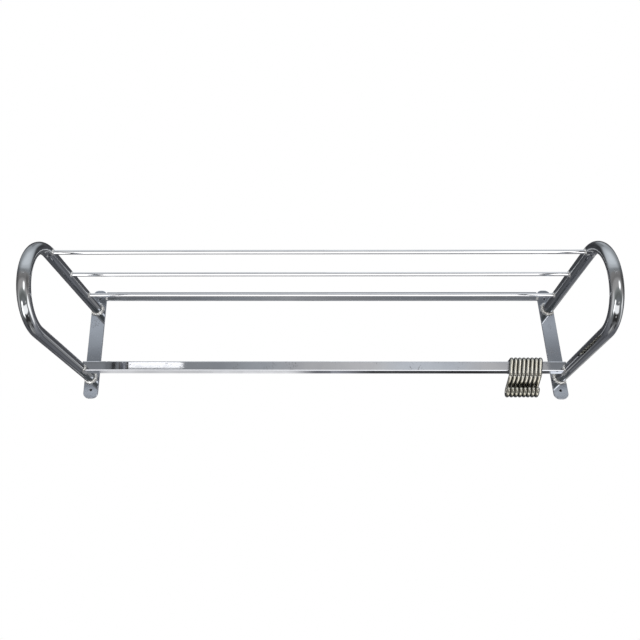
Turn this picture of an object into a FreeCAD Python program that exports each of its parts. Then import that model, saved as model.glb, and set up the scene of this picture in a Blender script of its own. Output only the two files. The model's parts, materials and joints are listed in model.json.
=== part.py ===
import FreeCAD, Part
import math
import os

# Wall-mounted coat and hat rack: two bent side tubes welded to two wall straps, a flat crossbar
# between the straps, three shelf rods, a square hanger rail, and eight S-hooks that slide on the rail.
#
# Frame: origin at the centre of the four wall screw holes, on the wall plane. +Z up, +Y into the
# wall, +X to the right for someone who faces the wall. Millimetres.

V = FreeCAD.Vector

SIDES = (("left", -1), ("right", 1))    # side name, sign of x

# ---- side loops ----
loop_spacing = 977.0        # centre to centre
tube_d = 23.0               # outside
tube_wall = 1.5
arm_pitch = 154.0           # height between the upper and the lower arm
loop_depth = 338.5          # wall plane to the front centreline of the loop
arm_mid_z = 2.0             # the arms' middle is a little above the middle of the straps

tube_r = tube_d / 2
loop_x = loop_spacing / 2
loop_inner_x = loop_x - tube_r
bend_r = arm_pitch / 2
bend_y = -(loop_depth - bend_r)
upper_arm_z = arm_mid_z + bend_r
lower_arm_z = arm_mid_z - bend_r

# ---- wall straps and crossbar ----
strap_w = 30.0
strap_t = 4.0
strap_len = 244.0
strap_mid_z = 1.0           # a little more strap above the upper hole than below the lower one
strap_corner_r = 12.0
screw_hole_d = 5.5
screw_spacing_z = 206.0
strap_outer_x = loop_x + tube_r         # outer edge, flush with the outside of the loop
strap_x = strap_outer_x - strap_w / 2   # centreline

crossbar_h = 20.0
crossbar_t = 4.0
crossbar_z = 109.5          # just below the tops of the straps
crossbar_half = strap_x - strap_w / 2   # reaches the straps' inner edges

bar_edge_r = 0.5            # rounding of the flat bars' long edges

# ---- shelf rods ----
rod_d = 8.0
rod_drop = 2.0              # rods sit this far below the upper arms' centreline
rod_end_inset = 2.0         # uncoped end to the loop's centreline
rod_places = (("front", -268.0), ("middle", -178.0), ("rear", -81.5))   # name, y

rod_r = rod_d / 2
rod_z = upper_arm_z - rod_drop
rod_half = loop_x - rod_end_inset

# ---- hanger rail ----
rail_size = 20.0
rail_wall = 1.5
rail_corner_r = 2.0
rail_bore_corner_r = 0.6
rail_y = -57.5
rail_z = -71.4
rail_end_inset = 6.0        # uncoped end to the loop's centreline
rail_overrun = 10.0         # how far a cutting bar runs past each end of the rail
rail_half = loop_x - rail_end_inset

# ---- S-hooks ----
wire_d = 7.7
saddle_gap = 0.3            # between the rail and a hook's saddle
saddle_bend_r = 5.6         # this and the radii below are on the wire's centreline
rear_leg_len = 14.0         # straight part of the leg behind the rail
front_leg_end_z = -88.6
waist_bend_r = 7.9
eye_r = 9.0                 # the round lower hook
eye_y = -52.2
eye_z = -119.7
eye_tip_deg = 14.0          # how far the tip rises past the level of the eye's centre
hook_lean_deg = 12.1        # how far each hook's foot leans to the left
# place of each hook's saddle along the rail
hook_xs = (376.05, 384.3, 392.4, 400.5, 408.65, 416.75, 424.9, 433.0)

min_hook_gap = 0.2          # least clearance between neighbouring hooks
min_rail_gap = 0.15         # least clearance between a hook and the rail

# ---- weld beads ----
strap_bead = 6.0            # leg length
strap_bead_bulge = 0.60     # middle of the bead's face, as a share of the leg; 0.5 is flat
strap_bead_edge_gap = 0.5   # bead stops this far inside the strap's outer edge

rod_bead = 2.5
rod_bead_sink = 1.0         # extra depth of the collar's blank beyond the loop's surface

rail_bead = 4.0
rail_bead_rim = rail_bead * 1.6     # growth of the blank at its outer end
rail_bead_start = 0.02              # growth of the blank at its inner end
rail_bead_sink = 6.0                # how far the blank runs into the loop
rail_bead_top = 7.5                 # top of the bead above the lower arm's centreline

crossbar_bead_w = 6.0
crossbar_bead_h = 1.4
crossbar_bead_bottom_gap = 0.5      # bead's lower end to the crossbar's lower edge
crossbar_bead_top_gap = 2.5         # bead's upper end to the crossbar's upper edge


# ---- shared helpers ----
os.makedirs("parts", exist_ok=True)


def save(name, shape):
    """Write one piece, provided it is a valid solid."""
    shape = shape.removeSplitter()
    if not shape.isValid() or shape.Volume <= 0:
        raise ValueError(name + " isn't a valid solid")
    shape.exportStep("parts/" + name + ".step")


def disc(radius, centre, normal):
    return Part.Face(Part.Wire([Part.makeCircle(radius, centre, normal)]))


def edges_of_length(shape, length):
    return [edge for edge in shape.Edges if abs(edge.Length - length) < 1e-6]


def biggest(shape):
    return max(shape.Solids, key=lambda solid: solid.Volume)


def face_outward(solid):
    """Turn a solid the right way out; some revolved ones come inside out."""
    if solid.Volume < 0:
        solid.reverse()
    return solid


# ---- side loops ----
def hairpin(x, section):
    """Sweep a section(y, z) in a plane of constant x: straight arm, half circle, straight arm."""
    back_y = -strap_t
    run = V(0, bend_y - back_y, 0)
    upper = section(back_y, upper_arm_z).extrude(run)
    lower = section(back_y, lower_arm_z).extrude(run)
    bend = section(bend_y, upper_arm_z).revolve(V(x, bend_y, arm_mid_z), V(1, 0, 0), 180)
    return upper.fuse([bend, lower]).removeSplitter().Solids[0]


def side_loop(x):
    def ring(y, z):
        outer = disc(tube_r, V(x, y, z), V(0, 1, 0))
        return outer.cut(disc(tube_r - tube_wall, V(x, y, z), V(0, 1, 0))).Faces[0]
    return hairpin(x, ring)


def filled_side_loop(x):
    """The loop without its bore, for cutting the parts that seat on it."""
    return hairpin(x, lambda y, z: disc(tube_r, V(x, y, z), V(0, 1, 0)))


filled_loops = {sign: filled_side_loop(sign * loop_x) for _, sign in SIDES}


def cope(shape):
    """Saddle both ends onto the side loops."""
    return biggest(shape.cut([filled_loops[-1], filled_loops[1]]))


# ---- wall straps and crossbar ----
def wall_strap(x):
    strap = Part.makeBox(strap_w, strap_t, strap_len,
                         V(x - strap_w / 2, -strap_t, strap_mid_z - strap_len / 2))
    strap = strap.makeFillet(strap_corner_r, edges_of_length(strap, strap_t))
    front_edges = [edge for edge in strap.Edges
                   if abs(edge.BoundBox.YMin + strap_t) < 1e-4
                   and abs(edge.BoundBox.YMax + strap_t) < 1e-4]
    strap = strap.makeFillet(bar_edge_r, front_edges)
    for z in (-screw_spacing_z / 2, screw_spacing_z / 2):
        hole = Part.makeCylinder(screw_hole_d / 2, strap_t + 2, V(x, 1, z), V(0, -1, 0))
        strap = strap.cut(hole)
    return strap


def wall_crossbar():
    bar = Part.makeBox(2 * crossbar_half, crossbar_t, crossbar_h,
                       V(-crossbar_half, -crossbar_t, crossbar_z - crossbar_h / 2))
    return bar.makeFillet(bar_edge_r, edges_of_length(bar, 2 * crossbar_half))


# ---- shelf rods and hanger rail ----
def rod_blank(y):
    return Part.makeCylinder(rod_r, 2 * rod_half, V(-rod_half, y, rod_z), V(1, 0, 0))


def square_bar(size, corner_r, half):
    """Round-cornered square bar on the rail's centreline."""
    bar = Part.makeBox(2 * half, size, size, V(-half, rail_y - size / 2, rail_z - size / 2))
    return bar.makeFillet(corner_r, edges_of_length(bar, 2 * half))


def hanger_rail():
    outside = cope(square_bar(rail_size, rail_corner_r, rail_half))
    bore = square_bar(rail_size - 2 * rail_wall, rail_bore_corner_r, rail_half + rail_overrun)
    return biggest(outside.cut(bore))


# ---- S-hooks ----
# A hook is built in the plane x = 0. Points are (y, z); angles run from +Y towards +Z, which is
# the positive turn about +X.
def on_circle(centre, radius, degrees):
    angle = math.radians(degrees)
    return (centre[0] + radius * math.cos(angle), centre[1] + radius * math.sin(angle))


def wire_run(start, end):
    direction = V(0, *end) - V(0, *start)
    return Part.makeCylinder(wire_d / 2, direction.Length, V(0, *start), direction)


def wire_bend(centre, radius, start_deg, end_deg):
    tangent = math.radians(start_deg + 90)
    section = disc(wire_d / 2, V(0, *on_circle(centre, radius, start_deg)),
                   V(0, math.cos(tangent), math.sin(tangent)))
    return section.revolve(V(0, *centre), V(1, 0, 0), end_deg - start_deg)


def s_hook():
    """One leaning hook with its saddle at x = 0."""
    offset = rail_size / 2 + saddle_gap + wire_d / 2
    rear_y = rail_y + offset
    front_y = rail_y - offset
    top_z = rail_z + offset
    shoulder_z = top_z - saddle_bend_r
    rear_bend_y = rear_y - saddle_bend_r
    front_bend_y = front_y + saddle_bend_r
    waist = (front_y + waist_bend_r, front_leg_end_z)
    eye = (eye_y, eye_z)

    # heading of the straight run from waist to eye, measured from straight down towards the wall
    across = eye[0] - waist[0]
    down = waist[1] - eye[1]
    heading = math.degrees(math.atan2(across, down)
                           + math.asin((waist_bend_r + eye_r) / math.hypot(across, down)))
    tip_deg = -180 - eye_tip_deg

    rear_end = (rear_y, shoulder_z - rear_leg_len)
    tip = on_circle(eye, eye_r, tip_deg)
    pieces = [
        wire_run(rear_end, (rear_y, shoulder_z)),
        wire_bend((rear_bend_y, shoulder_z), saddle_bend_r, 0, 90),
        wire_run((rear_bend_y, top_z), (front_bend_y, top_z)),
        wire_bend((front_bend_y, shoulder_z), saddle_bend_r, 90, 180),
        wire_run((front_y, shoulder_z), (front_y, front_leg_end_z)),
        wire_bend(waist, waist_bend_r, 180, 180 + heading),
        wire_run(on_circle(waist, waist_bend_r, 180 + heading), on_circle(eye, eye_r, heading)),
        wire_bend(eye, eye_r, heading, tip_deg),
    ]
    # rounded wire ends
    pieces += [Part.makeSphere(wire_d / 2, V(0, *end)) for end in (rear_end, tip)]
    pieces = [face_outward(piece) for piece in pieces]
    hook = pieces[0].fuse(pieces[1:]).removeSplitter().Solids[0]
    hook.rotate(V(0, 0, top_z), V(0, 1, 0), hook_lean_deg)
    return hook


def placed_hooks():
    blank = s_hook()
    hooks = []
    for x in hook_xs:
        hook = blank.copy()
        hook.translate(V(x, 0, 0))
        hooks.append(hook)
    return hooks


def require_clearance(hooks, rail):
    """The hooks must slide freely: off each other and off the rail."""
    for hook, neighbour in zip(hooks, hooks[1:]):
        if hook.distToShape(neighbour)[0] < min_hook_gap:
            raise ValueError("hooks touch")
    for hook in hooks:
        if hook.distToShape(rail)[0] < min_rail_gap:
            raise ValueError("a hook touches the rail")


# ---- weld beads ----
def strap_weld(sign, z):
    """Bead round a tube end on the strap's face, open where the tube is flush with its edge."""
    middle = strap_bead * strap_bead_bulge
    corner = V(tube_r, -strap_t, 0)
    on_strap = V(tube_r + strap_bead, -strap_t, 0)
    on_tube = V(tube_r, -strap_t - strap_bead, 0)
    crown = V(tube_r + middle, -strap_t - middle, 0)
    profile = Part.Wire([Part.makeLine(corner, on_strap),
                         Part.Arc(on_strap, crown, on_tube).toShape(),
                         Part.makeLine(on_tube, corner)])
    bead = face_outward(Part.Face(profile).revolve(V(0, 0, 0), V(0, 1, 0), 360))
    bead.translate(V(sign * loop_x, 0, z))
    # box that keeps only what lies inside the strap's outer edge
    size = 60
    edge_x = strap_outer_x - strap_bead_edge_gap
    keep = Part.makeBox(size, 20, size,
                        V(edge_x - size if sign > 0 else -edge_x, -15, z - size / 2))
    return bead.common(keep)


def rod_weld(sign, y):
    """Small collar at a rod's end, seated on the loop and on the rod."""
    rim_r = rod_r + rod_bead
    start_x = loop_inner_x - rod_bead
    # the loop's surface curves away from the collar by this much at the rim
    curve_depth = tube_r - math.sqrt(tube_r ** 2 - rim_r ** 2)
    end_x = loop_inner_x + curve_depth + rod_bead_sink
    cone = Part.makeCone(rod_r, rim_r, end_x - start_x, V(sign * start_x, y, rod_z), V(sign, 0, 0))
    return biggest(cone.cut([filled_loops[sign], rod_blank(y)]))


def rail_weld(sign):
    """Bead along the front, underside and back of the rail's end, seated on the lower arm."""
    def outline(x, growth):
        reach = rail_size / 2 + growth
        front_y, back_y = rail_y - reach, rail_y + reach
        bottom_z, top_z = rail_z - reach, lower_arm_z + rail_bead_top
        points = [V(x, front_y, bottom_z), V(x, back_y, bottom_z),
                  V(x, back_y, top_z), V(x, front_y, top_z)]
        return Part.makePolygon(points + [points[0]])

    block = Part.makeLoft([outline(sign * (loop_inner_x - rail_bead), rail_bead_start),
                           outline(sign * (loop_inner_x + rail_bead_sink), rail_bead_rim)], True)
    rail_blank = square_bar(rail_size, rail_corner_r, rail_half + rail_overrun)
    return biggest(block.cut([filled_loops[sign], rail_blank]))


def crossbar_weld(sign):
    """Flat bead over the joint between the crossbar's end and the strap's inner edge."""
    half_w = crossbar_bead_w / 2
    # circle through the bead's two edges and its crown
    radius = (half_w ** 2 + crossbar_bead_h ** 2) / (2 * crossbar_bead_h)
    bottom_z = crossbar_z - crossbar_h / 2 + crossbar_bead_bottom_gap
    top_z = crossbar_z + crossbar_h / 2 - crossbar_bead_top_gap
    joint_x = sign * crossbar_half
    bead = Part.makeCylinder(radius, top_z - bottom_z,
                             V(joint_x, -strap_t - crossbar_bead_h + radius, bottom_z), V(0, 0, 1))
    # box that keeps only what stands proud of the strap's face
    keep = Part.makeBox(40, 10, 60, V(joint_x - 20, -strap_t - 10, crossbar_z - 30))
    return bead.common(keep)


# ---- build and write every piece ----
for side, sign in SIDES:
    save(side + "_side_loop", side_loop(sign * loop_x))
    save(side + "_wall_strap", wall_strap(sign * strap_x))
    save(side + "_upper_strap_weld", strap_weld(sign, upper_arm_z))
    save(side + "_lower_strap_weld", strap_weld(sign, lower_arm_z))
    for place, y in rod_places:
        save(side + "_" + place + "_rod_weld", rod_weld(sign, y))
    save(side + "_rail_weld", rail_weld(sign))
    save(side + "_crossbar_weld", crossbar_weld(sign))

save("wall_crossbar", wall_crossbar())

for place, y in rod_places:
    save(place + "_shelf_rod", cope(rod_blank(y)))

rail = hanger_rail()
save("hanger_rail", rail)

hooks = placed_hooks()
for number, hook in enumerate(hooks, 1):
    save("hook_%d" % number, hook)
require_clearance(hooks, rail)
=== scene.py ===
"""A chromed wall rack: two side loops of bent tube welded to wall straps, with three shelf rods, a flat
crossbar, a square hanger rail and eight S hooks at the rail's right end.

X runs to the right along the rack, -Y is the front and +Y the wall, Z is up. The middle of the straps is
near the origin. Shapes are worked out in mm and turned into metres as they become meshes.
"""
import itertools
import json
import math

import bmesh
import bpy
import numpy as np
from mathutils import Matrix, Vector

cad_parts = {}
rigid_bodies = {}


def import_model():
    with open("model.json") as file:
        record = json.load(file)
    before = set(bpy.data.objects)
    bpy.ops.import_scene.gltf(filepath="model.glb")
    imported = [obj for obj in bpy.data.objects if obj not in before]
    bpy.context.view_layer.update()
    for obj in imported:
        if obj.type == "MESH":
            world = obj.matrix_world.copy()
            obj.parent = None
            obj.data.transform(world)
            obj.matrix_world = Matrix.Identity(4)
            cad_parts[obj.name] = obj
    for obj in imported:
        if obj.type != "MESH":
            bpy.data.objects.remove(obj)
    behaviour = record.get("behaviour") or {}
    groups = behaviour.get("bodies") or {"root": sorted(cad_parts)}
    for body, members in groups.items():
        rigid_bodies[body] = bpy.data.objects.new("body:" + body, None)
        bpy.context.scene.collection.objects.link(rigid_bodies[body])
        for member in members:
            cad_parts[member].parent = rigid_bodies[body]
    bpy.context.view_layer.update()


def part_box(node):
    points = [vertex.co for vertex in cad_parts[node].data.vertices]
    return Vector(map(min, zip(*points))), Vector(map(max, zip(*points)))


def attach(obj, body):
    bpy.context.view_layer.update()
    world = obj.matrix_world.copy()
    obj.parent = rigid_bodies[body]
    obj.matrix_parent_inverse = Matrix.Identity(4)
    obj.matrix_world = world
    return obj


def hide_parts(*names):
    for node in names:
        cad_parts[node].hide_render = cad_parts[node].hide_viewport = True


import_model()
scene = bpy.context.scene

MM = 0.001
TAU = 2.0 * math.pi
SIDES = (("left", -1), ("right", 1))  # name and sign of X


# =============================================================================================
# sizes read from the frame, in mm
# =============================================================================================
def box_mm(node):
    low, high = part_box(node)
    return np.array(low) * 1000.0, np.array(high) * 1000.0


LOOP_BOX = {side: box_mm(side + "_side_loop") for side, _ in SIDES}
STRAP_BOX = {side: box_mm(side + "_wall_strap") for side, _ in SIDES}
LOOP_X = {side: (high[0] + low[0]) / 2 for side, (low, high) in LOOP_BOX.items()}
loop_low, loop_high = LOOP_BOX["left"]
TUBE_R = round((loop_high[0] - loop_low[0]) / 2, 3)
ARM_TOP = loop_high[2] - TUBE_R      # centre line of the upper arm
ARM_LOW = loop_low[2] + TUBE_R       # centre line of the lower arm
BEND_R = (ARM_TOP - ARM_LOW) / 2
BEND_Z = (ARM_TOP + ARM_LOW) / 2
BEND_Y = loop_low[1] + TUBE_R + BEND_R
ARM_BACK = loop_high[1]
STRAP_FACE = STRAP_BOX["left"][0][1]

rail_low, rail_high = box_mm("hanger_rail")
RAIL_H = (rail_high[1] - rail_low[1]) / 2  # half the rail's width
RAIL_Y = (rail_high[1] + rail_low[1]) / 2
RAIL_Z = (rail_high[2] + rail_low[2]) / 2
RAIL_HALF = rail_high[0] - 0.1
RAIL_CORNER = 2.0
HOLE_Z = 103.0  # screw holes above and below the middle of a strap


# =============================================================================================
# mesh helpers
# =============================================================================================
class Waves:
    """A small fixed sum of sines: the slow unevenness of drawn, bent and polished stock."""

    def __init__(self, seed, count, shortest, longest, around):
        """Wave lengths in mm; around is the most waves round the piece."""
        rng = np.random.default_rng(seed)
        self.along = TAU / rng.uniform(shortest, longest, count)
        self.around = rng.integers(0, around + 1, count)
        self.phase = rng.uniform(0, TAU, count)
        weight = rng.uniform(0.4, 1.0, count)
        self.weight = weight / weight.sum()

    def __call__(self, run, phi):
        """run in mm along the piece, phi in radians around it. Between -1 and 1."""
        total = 0.0
        for along, around, phase, weight in zip(self.along, self.around, self.phase, self.weight):
            total = total + weight * np.sin(along * run + around * phi + phase)
        return total


def link_object(name, mesh):
    ob = bpy.data.objects.new(name, mesh)
    scene.collection.objects.link(ob)
    return ob


def running_length(points):
    return np.r_[0, np.cumsum(np.linalg.norm(np.diff(points, axis=0), axis=1))]


def closed_length(points):
    return running_length(np.vstack([points, points[:1]]))


def skin(name, rings, along, around, wrap_along=False):
    """Skin over rings (n, s, 3) in mm, capped at both ends, or a closed band with wrap_along.
    along (n, or n+1 for a band) and around (s+1) are the running lengths in mm for the UVs."""
    n, s, _ = rings.shape
    verts = list(rings.reshape(-1, 3))
    faces, uvs = [], []
    for i in range(n if wrap_along else n - 1):
        i2 = (i + 1) % n
        u0, u1 = along[i] * MM, along[i + 1] * MM
        for j in range(s):
            j2 = (j + 1) % s
            faces.append((i * s + j, i * s + j2, i2 * s + j2, i2 * s + j))
            v0, v1 = around[j] * MM, around[j + 1] * MM
            uvs += [(u0, v0), (u0, v1), (u1, v1), (u1, v0)]
    if not wrap_along:
        for i in (0, n - 1):
            centre = len(verts)
            verts.append(rings[i].mean(0))
            for j in range(s):
                a, b = i * s + j, i * s + (j + 1) % s
                faces.append((centre, b, a) if i == 0 else (centre, a, b))
                uvs += [(along[i] * MM, around[j] * MM)] * 3
    mesh = bpy.data.meshes.new(name)
    mesh.from_pydata([tuple(float(c) * MM for c in v) for v in verts], [], faces)
    mesh.uv_layers.new(name="run").data.foreach_set("uv", np.asarray(uvs, np.float32).ravel())
    bm = bmesh.new()
    bm.from_mesh(mesh)
    bmesh.ops.recalc_face_normals(bm, faces=bm.faces)
    bm.to_mesh(mesh)
    bm.free()
    mesh.polygons.foreach_set("use_smooth", [True] * len(mesh.polygons))
    mesh.update()
    return link_object(name, mesh)


def plane_path(segments, step_line, step_deg):
    """Samples ("line", start, end) and ("arc", centre, radius, from, to) runs given in (y, z).
    Returns points, unit tangents and running length, in mm."""
    samples = []
    for kind, *shape in segments:
        if kind == "line":
            start, end = np.array(shape[0], float), np.array(shape[1], float)
            span = end - start
            length = np.linalg.norm(span)
            steps = max(1, int(round(length / step_line)))
            samples += [(start + span * i / steps, span / length) for i in range(steps + 1)]
        else:
            centre, radius, first, last = shape
            steps = max(2, int(round(abs(last - first) / step_deg)))
            way = 1.0 if last > first else -1.0
            for i in range(steps + 1):
                a = math.radians(first + (last - first) * i / steps)
                outward = np.array([math.cos(a), math.sin(a)])
                forward = way * np.array([-math.sin(a), math.cos(a)])
                samples.append((np.array(centre, float) + radius * outward, forward))
    # where two runs meet, only the first of the two equal points stays
    kept = samples[:1]
    for point, tangent in samples[1:]:
        if np.linalg.norm(point - kept[-1][0]) > 1e-4:
            kept.append((point, tangent))
    points = np.array([point for point, _ in kept])
    tangents = np.array([tangent for _, tangent in kept])
    return points, tangents, running_length(points)


def domed_ends(points, tangents, run, radius, steps=9):
    """Lengthens a path by rounded wire ends. The fourth result scales the radius."""
    angles = [math.pi / 2 * (1 - i / steps) for i in range(steps)]
    head = [points[0] - tangents[0] * radius * math.sin(a) for a in angles]
    tail = [points[-1] + tangents[-1] * radius * math.sin(a) for a in reversed(angles)]
    head_scale = np.array([max(math.cos(a), 0.02) for a in angles])
    tail_scale = head_scale[::-1]
    return (np.vstack([head, points, tail]),
            np.vstack([np.repeat(tangents[:1], steps, 0), tangents,
                       np.repeat(tangents[-1:], steps, 0)]),
            np.r_[run[0] + (head_scale - 1) * radius, run, run[-1] + (1 - tail_scale) * radius],
            np.r_[head_scale, np.ones(len(points)), tail_scale])


def round_stock(x, points, tangents, run, radius, sides, wave, depth, scale=1.0):
    """Rings of round stock along a path in the plane at x. depth is the unevenness in mm, always
    inwards; scale multiplies the radius. Also returns the running length around."""
    phi = np.linspace(0, TAU, sides, endpoint=False)
    r = (radius - depth * 0.5 * (1 + wave(run[:, None], phi[None, :]))) * scale
    rings = np.zeros((len(points), sides, 3))
    rings[:, :, 0] = x + r * np.sin(phi)
    rings[:, :, 1] = points[:, :1] + r * np.cos(phi) * tangents[:, 1:]
    rings[:, :, 2] = points[:, 1:] + r * np.cos(phi) * -tangents[:, :1]
    return rings, np.linspace(0, TAU * radius, sides + 1)


def rings_along_x(xs, y, z):
    """Rings of a straight piece; y and z broadcast to (stations, points round the section)."""
    return np.stack(np.broadcast_arrays(xs[:, None], y, z), axis=2)


def corner_arc(k, half_a, half_b, radius, steps):
    """Quarter circle at corner k of a rectangle with the arc centres at +-half_a, +-half_b,
    counted counterclockwise from the corner where both are positive."""
    sign_a, sign_b = ((1, 1), (-1, 1), (-1, -1), (1, -1))[k]
    angles = [math.radians(90 * k + 90 * i / steps) for i in range(steps + 1)]
    return [(sign_a * half_a + radius * math.cos(a), sign_b * half_b + radius * math.sin(a))
            for a in angles]


# =============================================================================================
# node helpers
# =============================================================================================
class ShaderTree:
    def __init__(self, tree):
        self.tree = tree
        tree.nodes.clear()

    def add(self, kind, inputs=None, **props):
        node = self.tree.nodes.new(kind)
        for key, value in props.items():
            setattr(node, key, value)
        for key, value in (inputs or {}).items():
            self.set(node.inputs[key], value)
        return node

    def set(self, socket, value):
        if isinstance(value, bpy.types.NodeSocket):
            self.tree.links.new(value, socket)
        else:
            socket.default_value = value

    def math(self, operation, *values, clamp=False):
        return self.add("ShaderNodeMath", dict(enumerate(values)),
                        operation=operation, use_clamp=clamp).outputs[0]

    def times(self, a, b):
        return self.math("MULTIPLY", a, b)

    def smooth(self, value, start, end, out_start=0.0, out_end=1.0):
        """Smooth step from out_start at start to out_end at end."""
        inputs = {"Value": value, "From Min": start, "From Max": end,
                  "To Min": out_start, "To Max": out_end}
        return self.add("ShaderNodeMapRange", inputs,
                        interpolation_type="SMOOTHSTEP").outputs["Result"]

    def band(self, value, low, high, soft):
        """1 between low and high, fading to 0 over soft inside each limit."""
        return self.times(self.smooth(value, low, low + soft),
                          self.smooth(value, high, high - soft))

    def ramp(self, value, stops):
        """stops are (position, colour)."""
        node = self.add("ShaderNodeValToRGB")
        node.color_ramp.interpolation = "EASE"
        elements = node.color_ramp.elements
        while len(elements) > 1:
            elements.remove(elements[-1])
        elements[0].position, elements[0].color = stops[0]
        for position, colour in stops[1:]:
            elements.new(position).color = colour
        self.set(node.inputs["Fac"], value)
        return node.outputs["Color"]

    def mix(self, factor, a, b):
        # the colour sockets of a Mix node are inputs 6 and 7 and output 2
        return self.add("ShaderNodeMix", {0: factor, 6: a, 7: b}, data_type="RGBA").outputs[2]

    def noise(self, vector, scale, detail, rough=0.5, distort=0.0):
        inputs = {"Vector": vector, "Scale": scale, "Detail": detail, "Roughness": rough,
                  "Distortion": distort}
        return self.add("ShaderNodeTexNoise", inputs).outputs["Fac"]

    def scaled(self, vector, scale):
        inputs = {"Vector": vector, "Scale": scale}
        return self.add("ShaderNodeMapping", inputs).outputs["Vector"]

    def separate(self, vector):
        return self.add("ShaderNodeSeparateXYZ", {0: vector}).outputs

    def bump(self, height, strength, distance, normal=None, invert=False):
        inputs = {"Strength": strength, "Distance": distance, "Height": height}
        if normal is not None:
            inputs["Normal"] = normal
        return self.add("ShaderNodeBump", inputs, invert=invert).outputs[0]

    def mix_shader(self, factor, first, second):
        inputs = {0: factor, 1: first.outputs[0], 2: second.outputs[0]}
        return self.add("ShaderNodeMixShader", inputs).outputs[0]


def rgb(r, g, b):
    return (r, g, b, 1.0)


def new_material(name):
    """A material with an output node only. Returns the material, its tree and the surface socket."""
    material = bpy.data.materials.new(name)
    material.use_nodes = True
    tree = ShaderTree(material.node_tree)
    return material, tree, tree.add("ShaderNodeOutputMaterial").inputs[0]


# =============================================================================================
# plate materials
# =============================================================================================
def pinholes(t, place, amount):
    """Small dots in scattered groups."""
    voronoi = t.add("ShaderNodeTexVoronoi", {"Vector": place, "Scale": 330.0},
                    feature="F1", distance="EUCLIDEAN")
    dot = t.smooth(voronoi.outputs["Distance"], start=0.34, end=0.12)
    group = t.smooth(t.noise(place, scale=34.0, detail=3.0, rough=0.6), start=0.56, end=0.70)
    return t.times(t.times(dot, group), amount)


def weld_burn(t, place, weld_y):
    """Broken discolouring that grows from the first to the second of weld_y, in metres."""
    near = t.smooth(t.separate(place)["Y"], *weld_y)
    broken = t.smooth(t.noise(place, scale=160.0, detail=4.0, rough=0.65), start=0.40, end=0.66)
    return t.times(near, broken)


def joint_shade_and_grime(t, place, amount, reach):
    """Painted shade where surfaces meet within reach, in metres, broken up into patchy soiling."""
    occlusion = t.add("ShaderNodeAmbientOcclusion", {"Distance": reach}, samples=6)
    shade_and_dirt = t.smooth(occlusion.outputs["AO"], start=0.86, end=0.30)
    broken = t.smooth(t.noise(place, scale=210.0, detail=4.0, rough=0.6), start=0.22, end=0.62,
                      out_start=0.45, out_end=1.0)
    return t.times(t.times(shade_and_dirt, broken), amount)


def plated(name, base, shade, *, rough, rough_spread, lines, wave, peel, shade_and_grime, shade_and_grime_reach,
           line_scale=(40, 2600), wave_scale=28.0, peel_scale=420.0, spots=0.0,
           spot_tint=(0.16, 0.12, 0.08), shade_and_grime_tint=(0.03, 0.025, 0.02), patch=0.0,
           patch_tint=None, weld_y=None, edge_shade=0.0):
    """Chrome or nickel plate over steel. Polishing lines follow the running UV; slow waves, fine
    peel, pinholes, haze patches, and painted shade with patchy soiling in the joints come from
    the place on the piece; edge_shade paints the colour darker where the surface turns away."""
    material, t, surface = new_material(name)
    plate = t.add("ShaderNodeBsdfPrincipled", {"Metallic": 1.0})
    t.set(surface, plate.outputs[0])
    coords = t.add("ShaderNodeTexCoord").outputs
    place = coords["Object"]
    slow = t.noise(place, wave_scale, detail=2.0, rough=0.45)
    haze = t.noise(place, scale=17.0, detail=5.0, rough=0.6, distort=0.4)
    fine = t.noise(place, peel_scale, detail=3.0, rough=0.6)
    streak = t.noise(t.scaled(coords["UV"], (*line_scale, 1.0)), scale=1.0, detail=6.0, rough=0.65)
    streak_sharp = t.smooth(streak, start=0.50, end=0.74)

    # colour
    colour = t.mix(t.smooth(haze, start=0.30, end=0.72), rgb(*base), rgb(*shade))
    if patch > 0:
        blot = t.noise(place, scale=46.0, detail=5.0, rough=0.62, distort=0.8)
        blot_mask = t.times(t.smooth(blot, start=0.44, end=0.66), patch)
        colour = t.mix(blot_mask, colour, rgb(*patch_tint))
    if spots > 0:
        holes = pinholes(t, place, spots)
        colour = t.mix(holes, colour, rgb(*spot_tint))
    if weld_y is not None:
        burn = weld_burn(t, place, weld_y)
        colour = t.mix(t.times(burn, 0.55), colour, rgb(0.42, 0.37, 0.27))
    # painted shade from ambient occlusion in the joints, with patchy soiling mixed in
    shade_and_dirt = joint_shade_and_grime(t, place, shade_and_grime, shade_and_grime_reach)
    colour = t.mix(shade_and_dirt, colour, rgb(*shade_and_grime_tint))
    if edge_shade > 0:
        # painted shade: the colour darkens where the surface turns away from the view
        facing = t.add("ShaderNodeLayerWeight", {"Blend": 0.5}).outputs["Facing"]
        turned = t.times(t.smooth(facing, start=0.16, end=0.52), edge_shade)
        colour = t.mix(turned, colour, rgb(0.05, 0.055, 0.06))
    t.set(plate.inputs["Base Color"], colour)

    # roughness: each flaw adds its own share
    total = t.math("ADD", rough, t.times(t.smooth(haze, start=0.35, end=0.75), rough_spread))
    total = t.math("ADD", total, t.times(streak_sharp, lines * 0.15))
    if spots > 0:
        total = t.math("ADD", total, t.times(holes, 0.4))
    total = t.math("ADD", total, t.times(shade_and_dirt, 0.45))
    if weld_y is not None:
        total = t.math("ADD", total, t.times(burn, 0.22))
    t.set(plate.inputs["Roughness"], t.math("MINIMUM", total, 0.9))

    # relief
    normal = t.bump(slow, strength=wave, distance=0.004)
    normal = t.bump(fine, strength=peel, distance=0.0004, normal=normal)
    normal = t.bump(streak, strength=lines, distance=0.00005, normal=normal)
    if spots > 0:
        normal = t.bump(holes, strength=0.6, distance=0.0002, normal=normal, invert=True)
    t.set(plate.inputs["Normal"], normal)
    return material


# each plate gets painted shade in its joints; the tube and the hooks also get painted shade where they
# turn away
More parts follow.
